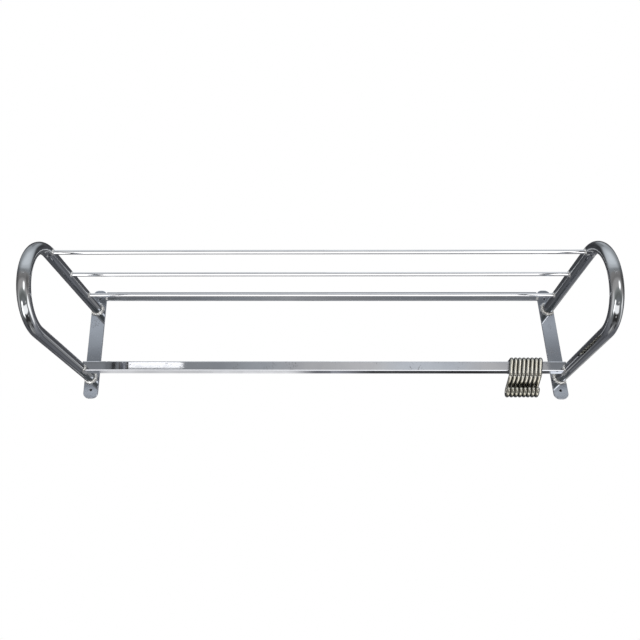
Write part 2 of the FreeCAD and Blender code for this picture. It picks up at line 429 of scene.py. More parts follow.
TUBE_PLATE = plated(
    "chrome_tube_plate", base=(0.80, 0.82, 0.84), shade=(0.72, 0.74, 0.76),
    rough=0.035, rough_spread=0.035, lines=0.06, line_scale=(24, 900), wave=0.022,
    wave_scale=30.0, peel=0.012, shade_and_grime=0.75, shade_and_grime_reach=0.005, weld_y=(-0.022, -0.003), edge_shade=0.62)
STRAP_PLATE = plated(
    "chrome_strap_plate", base=(0.80, 0.84, 0.91), shade=(0.75, 0.78, 0.85),
    rough=0.045, rough_spread=0.02, lines=0.12, line_scale=(1500, 22), wave=0.010,
    wave_scale=18.0, peel=0.010, spots=0.5, shade_and_grime=0.85, shade_and_grime_reach=0.007)
ROD_PLATE = plated(
    "chrome_rod_plate", base=(0.86, 0.86, 0.87), shade=(0.79, 0.79, 0.81),
    rough=0.035, rough_spread=0.03, lines=0.04, line_scale=(20, 1400), wave=0.010,
    peel=0.008, spots=0.2, shade_and_grime=0.7, shade_and_grime_reach=0.004)
BAR_PLATE = plated(
    "chrome_crossbar_plate", base=(0.78, 0.80, 0.84), shade=(0.70, 0.72, 0.76),
    rough=0.045, rough_spread=0.03, lines=0.08, line_scale=(20, 1500), wave=0.015,
    wave_scale=14.0, peel=0.015, spots=0.4, shade_and_grime=0.85, shade_and_grime_reach=0.007)
RAIL_PLATE = plated(
    "chrome_rail_plate", base=(0.80, 0.81, 0.84), shade=(0.73, 0.74, 0.78),
    rough=0.022, rough_spread=0.012, lines=0.035, line_scale=(14, 1300), wave=0.004,
    wave_scale=10.0, peel=0.004, spots=0.3, shade_and_grime=0.8, shade_and_grime_reach=0.006)
WELD_PLATE = plated(
    "weld_bead_plate", base=(0.88, 0.88, 0.87), shade=(0.70, 0.69, 0.67),
    rough=0.14, rough_spread=0.18, lines=0.0, wave=0.22, wave_scale=150.0, peel=0.30,
    peel_scale=800.0, spots=0.55, spot_tint=(0.07, 0.06, 0.05), shade_and_grime=0.55, shade_and_grime_reach=0.003,
    patch=0.12, patch_tint=(0.60, 0.54, 0.40))
# the hooks' painted joint shade is almost black, to darken the gaps between them
HOOK_PLATE = plated(
    "hook_wire_plate", base=(0.81, 0.79, 0.72), shade=(0.66, 0.64, 0.55),
    rough=0.08, rough_spread=0.10, lines=0.16, line_scale=(40, 2000), wave=0.06,
    wave_scale=90.0, peel=0.05, peel_scale=600.0, spots=0.5, spot_tint=(0.08, 0.06, 0.03),
    shade_and_grime=0.55, shade_and_grime_reach=0.005, shade_and_grime_tint=(0.016, 0.013, 0.009),
    patch=0.35, patch_tint=(0.40, 0.36, 0.25), edge_shade=0.85)


def dress(ob, material, node, body="rack"):
    """Gives a piece its material, hangs it on its body and hides the frame node it stands for."""
    ob.data.materials.append(material)
    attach(ob, body)
    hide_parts(node)


# =============================================================================================
# side loops
# =============================================================================================
def side_loop(side, seed):
    """Upper arm, half-circle bend at the front, lower arm."""
    points, tangents, run = plane_path(
        [("line", (ARM_BACK, ARM_TOP), (BEND_Y, ARM_TOP)),
         ("arc", (BEND_Y, BEND_Z), BEND_R, 90.0, 270.0),
         ("line", (BEND_Y, ARM_LOW), (ARM_BACK, ARM_LOW))], step_line=4.0, step_deg=1.25)
    tube_sides = 96
    # the tube goes slightly flat on the outside and inside of its bend, easing in over 30 mm
    arm, bend, lead, ease = ARM_BACK - BEND_Y, math.pi * BEND_R, 12, 30.0
    w = np.clip(np.minimum(run - arm + lead, arm + bend + lead - run) / ease, 0, 1)
    w = (w * w * (3 - 2 * w))[:, None]
    phi = np.linspace(0, TAU, tube_sides, endpoint=False)
    oval = 1.0 - 0.014 * w * np.cos(phi) ** 2
    wave = Waves(seed, count=9, shortest=26, longest=90, around=3)
    rings, around = round_stock(LOOP_X[side], points, tangents, run, TUBE_R, tube_sides, wave,
                                depth=0.07, scale=oval)
    ob = skin(side + "_tube", rings, run, around)
    dress(ob, TUBE_PLATE, side + "_side_loop")


side_loop("left", seed=11)
side_loop("right", seed=12)


# =============================================================================================
# wall straps
# =============================================================================================
def circle(z, radius, count=48):
    return [(radius * math.cos(TAU * i / count), z + radius * math.sin(TAU * i / count))
            for i in range(count)]


def wall_strap(side):
    """Upright flat bar with round corners, softened edges and two screw holes."""
    low, high = STRAP_BOX[side]
    x_mid, z_mid = (low[0] + high[0]) / 2, (low[2] + high[2]) / 2
    half_width, half_height = (high[0] - low[0]) / 2, (high[2] - low[2]) / 2
    front, back = low[1], high[1]
    corner, soft = 12.0, 0.7        # corner radius, rounding of the outer edges
    hole_r, lip = 2.75, 0.5         # hole radius, rounding of its front edge
    chamfer = 0.2                   # at the back of the hole
    quarter = [math.pi / 2 * k / 4 for k in range(5)]
    bm = bmesh.new()
    rounded = set()

    def outline(inset):
        return [(x, z_mid + z) for k in range(4)
                for x, z in corner_arc(k, half_width - corner, half_height - corner,
                                       corner - inset, 16)]

    def ring(points, y):
        return [bm.verts.new(((x_mid + x) * MM, y * MM, z * MM)) for x, z in points]

    def bands(loops):
        for a, b in zip(loops, loops[1:]):
            n = len(a)
            for i in range(n):
                j = (i + 1) % n
                rounded.add(bm.faces.new((a[i], a[j], b[j], b[i])))

    def edges(loop):
        return [bm.edges.get((v, loop[(i + 1) % len(loop)])) for i, v in enumerate(loop)]

    rim = [ring(outline(soft * (1 - math.sin(a))), front + soft * (1 - math.cos(a)))
           for a in quarter]
    rim += [ring(outline(soft * (1 - math.sin(a))), back - soft * (1 - math.cos(a)))
            for a in reversed(quarter)]
    bands(rim)
    holes = []
    for z in (-HOLE_Z, HOLE_Z):
        wall = [ring(circle(z, hole_r + lip * (1 - math.sin(a))), front + lip * (1 - math.cos(a)))
                for a in quarter]
        wall.append(ring(circle(z, hole_r), back - chamfer))
        wall.append(ring(circle(z, hole_r + chamfer), back))
        bands(wall)
        holes.append(wall)
    # flat front and back faces, between the rim and the holes
    for k in (0, -1):
        border = edges(rim[k])
        for wall in holes:
            border += edges(wall[k])
        bmesh.ops.triangle_fill(bm, use_beauty=True, use_dissolve=False, edges=border)
    bmesh.ops.recalc_face_normals(bm, faces=bm.faces)
    uv = bm.loops.layers.uv.new("run")
    for face in bm.faces:
        face.smooth = face in rounded
        for loop in face.loops:
            loop[uv].uv = (loop.vert.co.z, loop.vert.co.x)
    mesh = bpy.data.meshes.new(side + "_strap")
    bm.to_mesh(mesh)
    bm.free()
    ob = link_object(side + "_strap", mesh)
    dress(ob, STRAP_PLATE, side + "_wall_strap")


def hole_shade(name, x, z):
    """Dark shallow cone behind a screw hole, seen through the hole only."""
    rim_r, rim_y, centre_y, count = 3.6, 0.4, 0.8, 24
    points = [(x * MM, centre_y * MM, z * MM)]
    points += [((x + dx) * MM, rim_y * MM, rim_z * MM) for dx, rim_z in circle(z, rim_r, count)]
    mesh = bpy.data.meshes.new(name)
    mesh.from_pydata(points, [], [(0, 1 + i, 1 + (i + 1) % count) for i in range(count)])
    ob = link_object(name, mesh)
    material, t, surface = new_material(name)
    dark = t.add("ShaderNodeBsdfPrincipled", {"Roughness": 0.9})
    speckle = t.noise(t.add("ShaderNodeTexCoord").outputs["Object"], scale=600.0, detail=3.0)
    t.set(dark.inputs["Base Color"],
          t.mix(speckle, rgb(0.008, 0.008, 0.009), rgb(0.03, 0.028, 0.026)))
    clear = t.add("ShaderNodeBsdfTransparent")
    incoming = t.separate(t.add("ShaderNodeNewGeometry").outputs["Incoming"])
    # nothing to see from behind the rack
    from_behind = t.math("GREATER_THAN", incoming["Y"], 0.0)
    t.set(surface, t.mix_shader(from_behind, dark, clear))
    mesh.materials.append(material)
    ob.visible_shadow = ob.visible_glossy = ob.visible_diffuse = False


for side, _ in SIDES:
    wall_strap(side)
for side, _ in SIDES:
    strap_low, strap_high = STRAP_BOX[side]
    for level, hole_z in (("upper", HOLE_Z), ("lower", -HOLE_Z)):
        hole_shade("%s_%s_hole_shade" % (side, level), (strap_low[0] + strap_high[0]) / 2, hole_z)


# =============================================================================================
# shelf rods
# =============================================================================================
def shelf_rod(which, seed):
    """Round rod between the upper arms. Returns the y and z of its centre, and its radius."""
    node = which + "_shelf_rod"
    low, high = box_mm(node)
    radius = (high[1] - low[1]) / 2
    y, z = (high[1] + low[1]) / 2, (high[2] + low[2]) / 2
    half, sides, depth = high[0] - 0.1, 48, 0.05
    xs = np.linspace(-half, half, 260)
    phi = np.linspace(0, TAU, sides, endpoint=False)
    wave = Waves(seed, count=8, shortest=40, longest=160, around=2)
    r = radius - depth * 0.5 * (1 + wave(xs[:, None], phi[None, :]))
    rings = rings_along_x(xs, y + r * np.cos(phi), z + r * np.sin(phi))
    ob = skin(which + "_rod", rings, xs - xs[0], np.linspace(0, TAU * radius, sides + 1))
    dress(ob, ROD_PLATE, node)
    return y, z, radius


RODS = {which: shelf_rod(which, seed)
        for which, seed in (("front", 21), ("middle", 22), ("rear", 23))}


# =============================================================================================
# crossbar
# =============================================================================================
def crossbar():
    """Flat bar with rolled edges between the straps."""
    low, high = box_mm("wall_crossbar")
    half, depth, height = high[0] - 0.02, (high[1] - low[1]) / 2, (high[2] - low[2]) / 2
    y_mid, z_mid = (high[1] + low[1]) / 2, (high[2] + low[2]) / 2
    corner = 0.9
    profile = []
    for k in range(4):
        profile += corner_arc(k, depth - corner, height - corner, corner, 6)
        if k in (1, 3):  # down the front face, then up the back face
            way = 1 if k == 1 else -1
            profile += [(-way * depth, way * (height - corner) * (1 - 2 * f))
                        for f in (0.006, 0.2, 0.4, 0.6, 0.8, 0.994)]
    profile = np.array(profile)
    xs = np.linspace(-half, half, 300)
    bow = Waves(35, count=6, shortest=110, longest=480, around=0)(xs, 0.0)[:, None]
    roll = Waves(36, count=5, shortest=140, longest=520, around=0)(xs, 0.0)[:, None]
    # the front face is a little uneven; the back face stays on the wall plane
    dent = 0.10 * (1 + bow) / 2 + math.radians(0.10) * roll * profile[:, 1]
    dent = np.where(profile[:, 0] < 0, np.maximum(dent, 0.0), 0.0)
    rings = rings_along_x(xs, y_mid + profile[:, 0] + dent,
                          z_mid + profile[:, 1] * (1 - 0.004 * (1 + roll) / 2))
    ob = skin("crossbar", rings, xs - xs[0], closed_length(profile))
    dress(ob, BAR_PLATE, "wall_crossbar")


crossbar()


# =============================================================================================
# hanger rail
# =============================================================================================
def rail_profile():
    """Square with round corners; the sides are hollowed by a few thousandths of a millimetre."""
    flat, hollow = RAIL_H - RAIL_CORNER, 0.005
    side = [(2 * flat * (1 - f) - flat, RAIL_H - hollow * math.sin(math.pi * f) ** 2)
            for f in (0.005, 0.125, 0.25, 0.375, 0.5, 0.625, 0.75, 0.875, 0.995)]
    profile = []
    for k in range(4):
        profile += corner_arc(k, flat, flat, RAIL_CORNER, 8) + side
        side = [(-z, y) for y, z in side]  # a quarter turn on, to the next side
    return np.array(profile)


def hanger_rail():
    profile = rail_profile()
    xs = np.linspace(-RAIL_HALF, RAIL_HALF, 360)
    swell = Waves(31, count=6, shortest=120, longest=420, around=0)(xs, 0.0)[:, None]
    twist = Waves(32, count=6, shortest=90, longest=380, around=0)(xs, 0.0)[:, None]
    shrink = 1.0 - 0.0035 * (1 + swell) / 2
    turn = math.radians(0.03) * twist
    y, z = profile[:, 0] * shrink, profile[:, 1] * shrink
    rings = rings_along_x(xs, RAIL_Y + y * np.cos(turn) - z * np.sin(turn),
                          RAIL_Z + y * np.sin(turn) + z * np.cos(turn))
    ob = skin("rail", rings, xs - xs[0], closed_length(profile))
    dress(ob, RAIL_PLATE, "hanger_rail")


hanger_rail()

# =============================================================================================
# hooks
# =============================================================================================
WIRE_R = 3.85
SADDLE_GAP = 0.3  # between the rail and the wire
SADDLE_OFF = RAIL_H + SADDLE_GAP + WIRE_R
HOOK_TOP = RAIL_Z + SADDLE_OFF
HOOK_X = (376.05, 384.3, 392.4, 400.5, 408.65, 416.75, 424.9, 433.0)
HOOK_LEAN = math.radians(12.1)  # the feet swing to the left


def hook_path():
    """Over the rail from back to front, down its front, and through an S below."""
    y_rear, y_front = RAIL_Y + SADDLE_OFF, RAIL_Y - SADDLE_OFF
    bend, tail = 5.6, 14.0                      # saddle bend radius, length down the back
    upper_r, upper = 7.9, (y_front + 7.9, -88.6)  # first curve of the S: radius, centre
    lower_r, lower = 9.0, (-52.2, -119.7)       # second curve of the S
    # the straight run that touches both curves, on opposite sides
    dy, dz = lower[0] - upper[0], lower[1] - upper[1]
    head = math.atan2(dy, -dz) + math.asin((upper_r + lower_r) / math.hypot(dy, dz))
    leave = (upper[0] - upper_r * math.cos(head), upper[1] - upper_r * math.sin(head))
    meet = (lower[0] + lower_r * math.cos(head), lower[1] + lower_r * math.sin(head))
    bend_z = HOOK_TOP - bend
    return [("line", (y_rear, bend_z - tail), (y_rear, bend_z)),
            ("arc", (y_rear - bend, bend_z), bend, 0.0, 90.0),
            ("line", (y_rear - bend, HOOK_TOP), (y_front + bend, HOOK_TOP)),
            ("arc", (y_front + bend, bend_z), bend, 90.0, 180.0),
            ("line", (y_front, bend_z), (y_front, upper[1])),
            ("arc", upper, upper_r, 180.0, 180.0 + math.degrees(head)),
            ("line", leave, meet),
            ("arc", lower, lower_r, math.degrees(head), -194.0)]


def s_hook(number, x):
    points, tangents, run = plane_path(hook_path(), step_line=1.2, step_deg=5.0)
    points, tangents, run, dome = domed_ends(points, tangents, run, WIRE_R)
    wave = Waves(40 + number, count=8, shortest=5, longest=22, around=3)
    rings, around = round_stock(0.0, points, tangents, run, WIRE_R, 40, wave, depth=0.09,
                                scale=dome[:, None])
    dx, dz = rings[:, :, 0].copy(), rings[:, :, 2] - HOOK_TOP
    c, s = math.cos(HOOK_LEAN), math.sin(HOOK_LEAN)
    rings[:, :, 0] = x + dx * c + dz * s
    rings[:, :, 2] = HOOK_TOP - dx * s + dz * c
    # each hook starts at its own place in the polishing lines
    ob = skin("s_hook_%d" % number, rings, run + 311.0 * number, around)
    dress(ob, HOOK_PLATE, "hook_%d" % number, body="hook_%d_body" % number)


for number, hook_x in enumerate(HOOK_X, 1):
    s_hook(number, hook_x)


# =============================================================================================
# weld beads
# =============================================================================================
def weld_bead(part, foot_a, foot_b, bulge, closed=True):
    """A bead between two foot lines (n, 3): it swells outwards towards bulge (n, 3), and closes
    below the surfaces."""
    curve = [(1 - t) ** 2 * foot_a + 2 * t * (1 - t) * bulge + t * t * foot_b
             for t in (j / 8 for j in range(9))]
    inward = ((foot_a + foot_b) / 2 - bulge) * 0.25
    rings = np.stack(curve + [foot_b + inward, foot_a + inward], axis=1)
    around = np.linspace(0, 9, rings.shape[1] + 1)
    ob = skin(part + "_bead", rings, closed_length(foot_a), around, wrap_along=closed)
    dress(ob, WELD_PLATE, part + "_weld")


def ripple(theta, seed, beats):
    """Unevenness along a bead: regular beats and a few random slow waves."""
    rng = np.random.default_rng(seed)
    total = 0.20 * np.abs(np.sin(theta * beats / 2 + rng.uniform(0, 6)))
    for m in (2, 3, 5, 7, 11, 17):
        total = total + rng.uniform(0.02, 0.085) * np.sin(m * theta + rng.uniform(0, TAU))
    return total


def strap_bead(side, sign, level, arm_z, seed):
    """Round the end of an arm, where it meets the strap."""
    low, high = STRAP_BOX[side]
    strap_edge = abs(low[0]) if side == "left" else abs(high[0])
    theta = np.linspace(0, TAU, 180, endpoint=False)
    full_leg = 6.0
    leg = full_leg * np.clip(0.66 + ripple(theta, seed, beats=34), 0.42, 1.0)
    # outboard the tube is flush with the strap's edge, and there's no room for the bead
    outward = sign * np.cos(theta)
    room = (strap_edge - 0.4 - abs(LOOP_X[side])) / np.maximum(outward, 1e-3) - TUBE_R
    room = np.where(outward > 0.05, room, 99.0)
    spread = np.clip(np.minimum(leg, room), -0.04, full_leg)
    rise = leg * np.clip(spread / 2.0, 0.12, 1.0)

    def ring(radius, y):
        return np.stack([LOOP_X[side] + radius * np.cos(theta), np.broadcast_to(y, theta.shape),
                         arm_z + radius * np.sin(theta)], 1)

    weld_bead("%s_%s_strap" % (side, level),
              foot_a=ring(TUBE_R - 0.05, STRAP_FACE - rise),
              foot_b=ring(TUBE_R + spread, STRAP_FACE + 0.05),
              bulge=ring(TUBE_R + spread * 0.72, STRAP_FACE - rise * 0.72))


def arm_bead(side, sign, part, arm_z, path, normals, leg, start=0.0, sink=0.1, closed=True):
    """Between the inner side of an arm and a piece that ends on it. path and normals, in (y, z),
    run round the piece, whose surface lies start outside the path."""
    def line(offset, inset):
        points = path + normals * np.broadcast_to(offset, len(normals))[:, None]
        drop = np.maximum(TUBE_R ** 2 - (points[:, 1] - arm_z) ** 2, 0.0)
        inner_face = abs(LOOP_X[side]) - np.sqrt(drop)
        return np.column_stack([sign * (inner_face - inset), points])

    weld_bead(side + "_" + part,
              foot_a=line(start - 0.05, leg),
              foot_b=line(start + leg, -sink),
              bulge=line(start + leg * 0.62, leg * 0.66), closed=closed)


def rod_bead(side, sign, which, seed):
    y, z, radius = RODS[which]
    theta = np.linspace(0, TAU, 96, endpoint=False)
    leg = 2.5 * np.clip(0.68 + ripple(theta, seed, beats=12), 0.4, 1.0)
    arm_z = ARM_TOP
    if y < BEND_Y:  # the rod ends on the bend
        arm_z = BEND_Z + math.sqrt(max(BEND_R ** 2 - (y - BEND_Y) ** 2, 0.0))
    arm_bead(side, sign, which + "_rod", arm_z, np.array([y, z]),
             np.stack([np.cos(theta), np.sin(theta)], 1), leg, start=radius, sink=0.08)


def rail_bead(side, sign, seed):
    """Round the rail's end: down its front, along its underside, up its back."""
    flat, top = RAIL_H - RAIL_CORNER, ARM_LOW + 7.0
    bottom = RAIL_Z - flat
    turns = [math.radians(a) for a in np.linspace(0, 90, 7)[1:-1]]

    def corner(y_centre, normals):
        return [((y_centre + RAIL_CORNER * y, bottom + RAIL_CORNER * z), (y, z))
                for y, z in normals]

    stations = [((RAIL_Y - RAIL_H, z), (-1.0, 0.0)) for z in np.linspace(top, bottom, 22)]
    stations += corner(RAIL_Y - flat, [(-math.cos(a), -math.sin(a)) for a in turns])
    stations += [((y, RAIL_Z - RAIL_H), (0.0, -1.0))
                 for y in np.linspace(RAIL_Y - flat, RAIL_Y + flat, 24)]
    stations += corner(RAIL_Y + flat, [(math.sin(a), -math.cos(a)) for a in turns])
    stations += [((RAIL_Y + RAIL_H, z), (1.0, 0.0)) for z in np.linspace(bottom, top, 22)]
    path, normals = (np.array(column) for column in zip(*stations))
    t = np.linspace(0, 1, len(path))
    taper = np.clip(np.minimum(t, 1 - t) / 0.06, 0.25, 1.0)
    leg = 4.0 * np.clip(0.68 + ripple(t * 5.0, seed, beats=22), 0.42, 1.0) * taper
    arm_bead(side, sign, "rail", ARM_LOW, path, normals, leg, closed=False)


def crossbar_bead(side, sign, seed):
    """Upright bead where the crossbar's end meets the strap."""
    low, high = box_mm(side + "_crossbar_weld")
    z = np.linspace(low[2] + 0.1, high[2] - 0.1, 44)
    t = np.linspace(0, 1, len(z))
    rip = ripple(t * 6.0, seed, beats=26)
    ends = np.sqrt(np.clip(1 - (2 * t - 1) ** 8, 0.02, 1))
    wide = 3.0 * np.clip(0.72 + rip, 0.5, 1.0) * ends
    high_out = 1.4 * np.clip(0.70 + rip[::-1], 0.5, 1.0) * ends
    joint_x = 470.0
    x = sign * joint_x + 0.35 * np.sin(t * 9.0 + seed)
    x = np.clip(x, low[0] + wide, high[0] - wide)
    y = np.full_like(z, STRAP_FACE + 0.06)
    weld_bead(side + "_crossbar",
              foot_a=np.stack([x - wide, y, z], 1),
              foot_b=np.stack([x + wide, y, z], 1),
              bulge=np.stack([x, y - high_out * 2.0, z], 1), closed=False)


bead_seeds = itertools.count(61)
for side, sign in SIDES:
    for level, arm_z in (("upper", ARM_TOP), ("lower", ARM_LOW)):
        strap_bead(side, sign, level, arm_z, next(bead_seeds))
for side, sign in SIDES:
    for which in RODS:
        rod_bead(side, sign, which, next(bead_seeds))
for side, sign in SIDES:
    rail_bead(side, sign, next(bead_seeds))
for side, sign in SIDES:
    crossbar_bead(side, sign, next(bead_seeds))


# =============================================================================================
# floor and reflected panels, in metres
# =============================================================================================
def level_sheet(name, x_low, x_high, y_low, y_high, z):
    mesh = bpy.data.meshes.new(name)
    mesh.from_pydata([(x_low, y_low, z), (x_high, y_low, z), (x_high, y_high, z),
                      (x_low, y_high, z)], [], [(0, 1, 2, 3)])
    return link_object(name, mesh)


def pale_floor():
    floor = level_sheet("floor", -3, 3, -3, 3, z=-1.75)
    material, t, surface = new_material("pale_floor")
    matt = t.add("ShaderNodeBsdfPrincipled", {"Roughness": 0.7})
    t.set(surface, matt.outputs[0])
    mottle = t.noise(t.add("ShaderNodeTexCoord").outputs["Object"], scale=3.0, detail=5.0)
    t.set(matt.inputs["Base Color"], t.mix(mottle, rgb(0.86, 0.86, 0.85), rgb(0.90, 0.90, 0.89)))
    floor.data.materials.append(material)
    floor.visible_glossy = False


def light_card(name, x_low, x_high, y_low, y_high, strength):
    """A soft light panel that only shows in reflections."""
    card = level_sheet(name, x_low, x_high, y_low, y_high, z=-2.1)
    material, t, surface = new_material(name)
    glow = t.add("ShaderNodeEmission", {"Color": rgb(1, 1, 1)})
    place = t.separate(t.add("ShaderNodeTexCoord").outputs["Generated"])
    # the panel fades out over its last fifth
    fade_x = t.band(place["X"], 0.0, 1.0, soft=0.22)
    fade = t.times(fade_x, t.band(place["Y"], 0.0, 1.0, soft=0.22))
    t.set(glow.inputs["Strength"], t.times(fade, strength))
    clear = t.add("ShaderNodeBsdfTransparent")
    t.set(surface, t.mix_shader(fade, clear, glow))
    card.data.materials.append(material)
    card.visible_camera = False
    card.visible_diffuse = False
    card.visible_shadow = False


pale_floor()
# name, x from and to, y from and to, strength
for card_row in (("floor_band", -2.3, 2.2, -1.95, -0.74, 1.10),
                 ("floor_far", 0.30, 2.2, -2.35, -1.95, 0.42),
                 ("floor_near", 0.15, 0.95, -0.74, -0.54, 0.38),
                 ("floor_left", -2.5, -0.95, -2.7, -0.20, 1.9)):
    light_card(*card_row)

# =============================================================================================
# surroundings: what the chrome reflects. Levels are display brightness, 0 to 255.
# =============================================================================================
WHITE = (1.0, 1.0, 1.0)
BLUE, GREEN, WARM = (0.95, 1.0, 1.05), (0.97, 1.02, 1.0), (1.03, 1.0, 0.99)
COOL = (0.97, 0.99, 1.09)


def lit(level, tint=WHITE):
    """Display brightness to light, allowing for a plate that reflects 0.78 of it."""
    c = level / 255.0
    linear = c / 12.92 if c <= 0.04045 else ((c + 0.055) / 1.055) ** 2.4
    return rgb(*(linear * k / 0.78 for k in tint))


LAMP = rgb(2.2, 2.2, 2.2)

# elevation in degrees, level, tint
FRONT_SKY = [
    (-90, 42, WHITE), (-74, 46, WHITE), (-64, 50, WHITE), (-57, 84, WHITE), (-43, 108, BLUE),
    (-29, 96, GREEN), (-20, 120, GREEN), (-12, 144, WARM), (1, 138, WARM), (9, 108, WARM),
    (17, 116, WARM), (24, 126, BLUE), (31, 170, BLUE), (38, 190, BLUE), (52, 198, BLUE),
    (66, 208, BLUE), (90, 206, BLUE)]
BACK_SKY = [
    (-90, 76, WHITE), (-72, 120, WHITE), (-60, 136, WHITE), (-45, 148, COOL), (-28, 148, COOL),
    (-10, 134, COOL), (5, 124, COOL), (17, 112, COOL), (30, 100, COOL), (44, 92, COOL),
    (53, 108, BLUE), (61, 186, BLUE), (70, 214, BLUE), (90, 212, BLUE)]

# soft-edged rectangles, in degrees: azimuth from and to, elevation from and to, softness of
# each, colour, strength. Azimuth is 0 in front and grows to the right.
WINDOWS = [
    (48.0, 100.0, -8.0, 22.0, 14.0, 10.0, lit(84, WARM), 0.75),   # dim surround of the lamp
    (8.0, 42.0, -21.0, 2.0, 14.0, 9.0, LAMP, 1.0),
    (68.0, 128.0, -36.0, -7.0, 10.0, 7.0, lit(255), 1.0),         # bright strips to the sides
    (-116.0, -62.0, -33.0, -2.0, 12.0, 8.0, lit(182), 1.0),
    (112.0, 143.0, -72.0, -48.0, 8.0, 6.0, lit(46), 1.0),         # dark corners below
    (-143.0, -112.0, -72.0, -48.0, 8.0, 6.0, lit(50), 1.0),
    (-190.0, -146.0, -82.0, -44.0, 8.0, 10.0, lit(186), 1.0),     # pale, low behind on the left
    (143.0, 160.0, -3.0, 10.5, 5.0, 4.0, lit(210), 1.0),          # light behind on the right
    (148.0, 160.0, -16.0, 0.0, 4.0, 4.0, lit(194), 1.0),
    (-179.0, -158.0, -23.0, -12.0, 3.0, 3.0, lit(240), 1.0),      # pale foot, behind left
    (158.0, 180.0, -22.0, -12.0, 4.0, 4.0, lit(48), 1.0)]         # dark foot, behind right

# The wall opposite is a flat picture: right = X / -Y and up = Z / -Y of the direction.
UP_FROM, UP_TO = 0.27, 0.47
RIGHT_FROM, RIGHT_TO = -0.40, 0.40
EYE_DROP, EYE_AWAY = 485.1, 1316.8  # mm from the viewpoint up to z = 0 and back to the straps

# what each strap reflects: height on the strap in mm, level; all blue
LEFT_COLUMN = [
    (-120, 134), (-113, 172), (-101, 170), (-96, 96), (-90, 90), (-62, 128), (-50, 120),
    (-40, 104), (-30, 110), (-20, 124), (0, 140), (20, 149), (34, 157), (62, 156), (76, 128),
    (86, 80), (98, 56), (108, 62), (114, 118), (124, 190)]
RIGHT_COLUMN = [
    (-120, 134), (-113, 168), (-101, 166), (-96, 100), (-90, 98), (-62, 128), (-50, 118),
    (-40, 110), (-30, 108), (-20, 116), (0, 129), (20, 143), (34, 154), (60, 154), (74, 130),
    (86, 96), (98, 66), (112, 96), (124, 116)]
# what the crossbar and the rail reflect: place to the right, level, tint
CROSSBAR_ROW = [
    (-0.40, 90, BLUE), (-0.33, 92, BLUE), (-0.25, 104, BLUE), (-0.147, 126, BLUE),
    (-0.056, 144, WHITE), (0.035, 120, WHITE), (0.126, 108, BLUE), (0.22, 106, BLUE),
    (0.34, 100, BLUE)]
RAIL_ROW = [
    (-0.3472, 104, BLUE), (-0.32, 122, BLUE), (-0.236, 128, BLUE), (-0.1925, 132, BLUE),
    (-0.11, 150, BLUE), (-0.0249, 166, WHITE), (0.06, 178, WHITE), (0.1267, 187, BLUE),
    (0.19, 180, BLUE), (0.2528, 170, WHITE), (0.3381, 152, WHITE)]


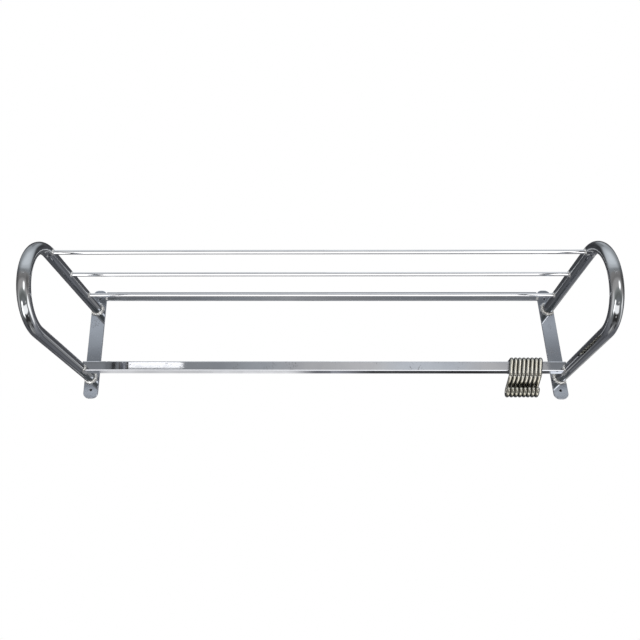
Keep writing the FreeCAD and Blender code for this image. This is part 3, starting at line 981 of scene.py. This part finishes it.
class Surroundings(ShaderTree):
    """The world's nodes; env is the colour built up so far."""

    def __init__(self, tree):
        super().__init__(tree)
        self.output = self.add("ShaderNodeOutputWorld").inputs[0]
        self.direction = self.add("ShaderNodeTexCoord").outputs["Generated"]
        axes = self.separate(self.direction)
        self.x, self.y, self.z = axes["X"], axes["Y"], axes["Z"]
        degrees = 180.0 / math.pi
        height = self.math("MINIMUM", self.math("MAXIMUM", self.z, -0.9999), 0.9999)
        self.elevation = self.times(self.math("ARCSINE", height), degrees)
        forward = self.times(self.y, -1.0)
        self.azimuth = self.times(self.math("ARCTAN2", self.x, forward), degrees)

    def sky(self):
        """Gradients from below to above, one for the front and one for behind."""
        def position(elevation):
            return elevation / 180.0 + 0.5

        def gradient(stops):
            return self.ramp(height, [(position(deg), lit(level, tint))
                                      for deg, level, tint in stops])

        height = self.math("ADD", self.math("DIVIDE", self.elevation, 180.0), 0.5)
        front = gradient(FRONT_SKY)
        back = gradient(BACK_SKY)
        self.abs_azimuth = self.math("ABSOLUTE", self.azimuth)
        # behind, the left half is darker than the right
        darker = self.times(self.smooth(self.azimuth, start=0.0, end=-20.0), 0.42)
        back = self.mix(darker, back, rgb(0.03, 0.03, 0.032))
        self.env = self.mix(self.smooth(self.abs_azimuth, start=98.0, end=130.0), front, back)

    def window(self, az_from, az_to, el_from, el_to, soft_az, soft_el, colour, strength):
        across = self.band(self.azimuth, az_from, az_to, soft_az)
        upright = self.band(self.elevation, el_from, el_to, soft_el)
        mask = self.times(self.times(across, upright), strength)
        self.env = self.mix(mask, self.env, colour)

    def put(self, mask, colour):
        """Colours part of the wall opposite."""
        self.env = self.mix(self.times(mask, self.ahead), self.env, colour)

    def panel(self, colour, right, up, soft_right, soft_up):
        """A rectangle on the wall opposite; its edges are centred on the limits."""
        def centred(value, low, high, soft):
            return self.band(value, low - soft / 2, high + soft / 2, soft)

        across = centred(self.right, *right, soft_right)
        self.put(self.times(across, centred(self.up, *up, soft_up)), colour)

    def wall_opposite(self):
        def share(value, low, high):
            return self.math("DIVIDE", self.math("SUBTRACT", value, low), high - low, clamp=True)

        def column(stops):
            return self.ramp(up_share, [
                (((z + EYE_DROP) / EYE_AWAY - UP_FROM) / (UP_TO - UP_FROM), lit(level, BLUE))
                for z, level in stops])

        def row(stops):
            return self.ramp(right_share, [
                ((place - RIGHT_FROM) / (RIGHT_TO - RIGHT_FROM), lit(level, tint))
                for place, level, tint in stops])

        forward = self.math("MAXIMUM", self.times(self.y, -1.0), 0.02)
        self.right = self.math("DIVIDE", self.x, forward)
        self.up = self.math("DIVIDE", self.z, forward)
        self.ahead = self.smooth(self.y, start=-0.3, end=-0.5)
        up_share = share(self.up, UP_FROM, UP_TO)
        right_share = share(self.right, RIGHT_FROM, RIGHT_TO)
        left_column = column(LEFT_COLUMN)
        right_column = column(RIGHT_COLUMN)
        self.panel(left_column, right=(-0.415, -0.346), up=(0.272, 0.464),
                   soft_right=0.006, soft_up=0.006)
        self.panel(right_column, right=(0.339, 0.395), up=(0.272, 0.464),
                   soft_right=0.006, soft_up=0.006)
        self.panel(row(CROSSBAR_ROW), right=(-0.352, 0.346), up=(0.441, 0.463),
                   soft_right=0.004, soft_up=0.004)
        rail_up = (0.3195, 0.3405)
        self.panel(row(RAIL_ROW), right=(-0.3600, 0.345), up=rail_up,
                   soft_right=0.0012, soft_up=0.002)
        # narrow dark strip at the rail's left end
        self.panel(lit(28), right=(-0.3494, -0.3432), up=rail_up,
                   soft_right=0.0014, soft_up=0.002)

    def rail_highlight(self):
        """Bright window with rounded ends, in the left part of the rail's face."""
        middle_right, half_width = -0.28345, 0.04905
        middle_up, half_height = 0.3322, 0.0041
        across = self.math("DIVIDE", self.math("ADD", self.right, -middle_right), half_width)
        upright = self.math("DIVIDE", self.math("SUBTRACT", self.up, middle_up), half_height)
        reach = self.math("ADD", self.math("POWER", self.math("ABSOLUTE", across), 8.0),
                          self.math("POWER", self.math("ABSOLUTE", upright), 3.0))
        self.put(self.smooth(reach, start=1.12, end=0.80), rgb(1.5, 1.5, 1.5))

    def streaks(self):
        """Uneven dark and pale lines behind the rack that show as streaks along the arms."""
        cloud = self.noise(self.scaled(self.direction, (9.0, 3.0, 15.0)), scale=1.0, detail=5.0,
                           rough=0.55, distort=0.3)
        where = self.times(self.smooth(self.abs_azimuth, start=100.0, end=134.0),
                           self.smooth(self.elevation, start=60.0, end=46.0))
        mask = self.times(where, 0.42)
        choice = self.smooth(cloud, start=0.36, end=0.66)
        pale = self.mix(0.35, self.env, rgb(0.30, 0.31, 0.33))
        self.env = self.mix(mask, self.env, self.mix(choice, rgb(0.030, 0.030, 0.033), pale))

    def finish(self):
        """Reflections see the surroundings; everything else sees plain white."""
        seen = self.add("ShaderNodeBackground", {"Color": self.env, "Strength": 1.0})
        plain = self.add("ShaderNodeBackground", {"Color": rgb(1, 1, 1), "Strength": 1.0})
        glossy = self.add("ShaderNodeLightPath").outputs["Is Glossy Ray"]
        self.set(self.output, self.mix_shader(glossy, plain, seen))


world = bpy.data.worlds.new("studio")
scene.world = world
world.use_nodes = True
surroundings = Surroundings(world.node_tree)
surroundings.sky()
for window_row in WINDOWS:
    surroundings.window(*window_row)
surroundings.wall_opposite()
surroundings.rail_highlight()
surroundings.streaks()
surroundings.finish()

scene.view_settings.view_transform = "Standard"
scene.view_settings.look = "None"
scene.view_settings.exposure = 0.0
scene.view_settings.gamma = 1.0


# =============================================================================================
# camera
# =============================================================================================
def add_camera():
    """Below the rack and in front of it, looking up at the wall."""
    data = bpy.data.cameras.new("camera")
    camera = link_object("camera", data)
    scene.camera = camera
    data.sensor_width = 36.0
    data.lens = 37.159875
    data.clip_start = 0.02
    data.clip_end = 60.0
    tilt, yaw, roll, slant = 0.3881, 0.0139, -0.0053, -0.0423  # radians; slant is a shear
    cos_tilt, sin_tilt = math.cos(tilt), math.sin(tilt)
    cos_yaw, sin_yaw = math.cos(yaw), math.sin(yaw)
    cos_roll, sin_roll = math.cos(roll), math.sin(roll)
    view = (np.array([[cos_yaw, -sin_yaw, 0], [sin_yaw, cos_yaw, 0], [0, 0, 1]])
            @ np.array([[1, 0, 0], [0, cos_tilt, -sin_tilt], [0, sin_tilt, cos_tilt]])
            @ np.array([[cos_roll, 0, sin_roll], [0, 1, 0], [-sin_roll, 0, cos_roll]]))
    # the picture leans a little: its up direction isn't quite square to its right direction,
    # so the camera hangs from a stretched empty
    axes = np.stack([view[:, 0], view[:, 2] - slant * view[:, 0], -view[:, 1]], 1)
    outer, stretch, inner = np.linalg.svd(axes)
    if np.linalg.det(outer) < 0:
        outer[:, 2] *= -1
        inner[2] *= -1
    holder = link_object("camera_holder", None)
    holder.rotation_mode = camera.rotation_mode = "QUATERNION"
    holder.location = (0.0141906, -1.3207711, -0.4851006)
    holder.rotation_quaternion = Matrix(outer.tolist()).to_quaternion()
    holder.scale = tuple(float(v) for v in stretch)
    camera.parent = holder
    camera.rotation_quaternion = Matrix(inner.tolist()).to_quaternion()


add_camera()


# =============================================================================================
# soft lights, each for the pieces that catch it
# =============================================================================================
def soft_light(name, centre, aim, size, radiance, prefixes, tint=WHITE, clear=False):
    """Rectangular light that only the meshes with these name prefixes receive. With clear it
    shines past everything except these pieces themselves."""
    data = bpy.data.lights.new(name, "AREA")
    data.shape = "RECTANGLE"
    data.size, data.size_y = size
    data.energy = radiance * math.pi * size[0] * size[1]
    data.color = tint
    light = link_object(name, data)
    light.location = centre
    toward = (Vector(aim) - Vector(centre)).normalized()
    light.rotation_mode = "QUATERNION"
    light.rotation_quaternion = toward.to_track_quat("-Z", "Y")
    light.visible_camera = False
    group = bpy.data.collections.new(name + "_on")
    scene.collection.children.link(group)
    for ob in list(bpy.data.objects):
        if ob.type == "MESH" and ob.name.startswith(prefixes):
            group.objects.link(ob)
    light.light_linking.receiver_collection = group
    if clear:
        light.light_linking.blocker_collection = group


STRAIGHT_PIECES = ("front_rod", "middle_rod", "rear_rod", "rail")
HOOKS = ("s_hook",)
BEADS = tuple(ob.name for ob in bpy.data.objects if ob.name.endswith("_bead"))
soft_light("low_front", centre=(0.0, -1.75, -0.50), aim=(0.0, 0.0, -0.50), size=(3.8, 1.10),
           radiance=1.05, prefixes=STRAIGHT_PIECES, clear=True)
soft_light("low_floor", centre=(0.0, -0.99, -1.04), aim=(0.0, -0.99, 0.0), size=(3.8, 1.54),
           radiance=1.05, prefixes=STRAIGHT_PIECES, clear=True)
soft_light("hook_front", centre=(0.75, -2.0, 0.62), aim=(0.40, -0.06, -0.09), size=(1.7, 0.75),
           radiance=1.3, prefixes=HOOKS, tint=(1.0, 0.98, 0.95))
soft_light("hook_low", centre=(0.45, -0.22, -1.25), aim=(0.40, -0.06, -0.10), size=(1.5, 0.44),
           radiance=1.10, prefixes=HOOKS, tint=(1.0, 0.98, 0.94))
soft_light("bead_front", centre=(0.0, -1.6, -0.35), aim=(0.0, 0.0, -0.02), size=(3.4, 0.9),
           radiance=1.1, prefixes=BEADS)
soft_light("bead_low", centre=(0.0, -0.9, -1.2), aim=(0.0, -0.03, 0.0), size=(3.0, 0.8),
           radiance=0.8, prefixes=BEADS)
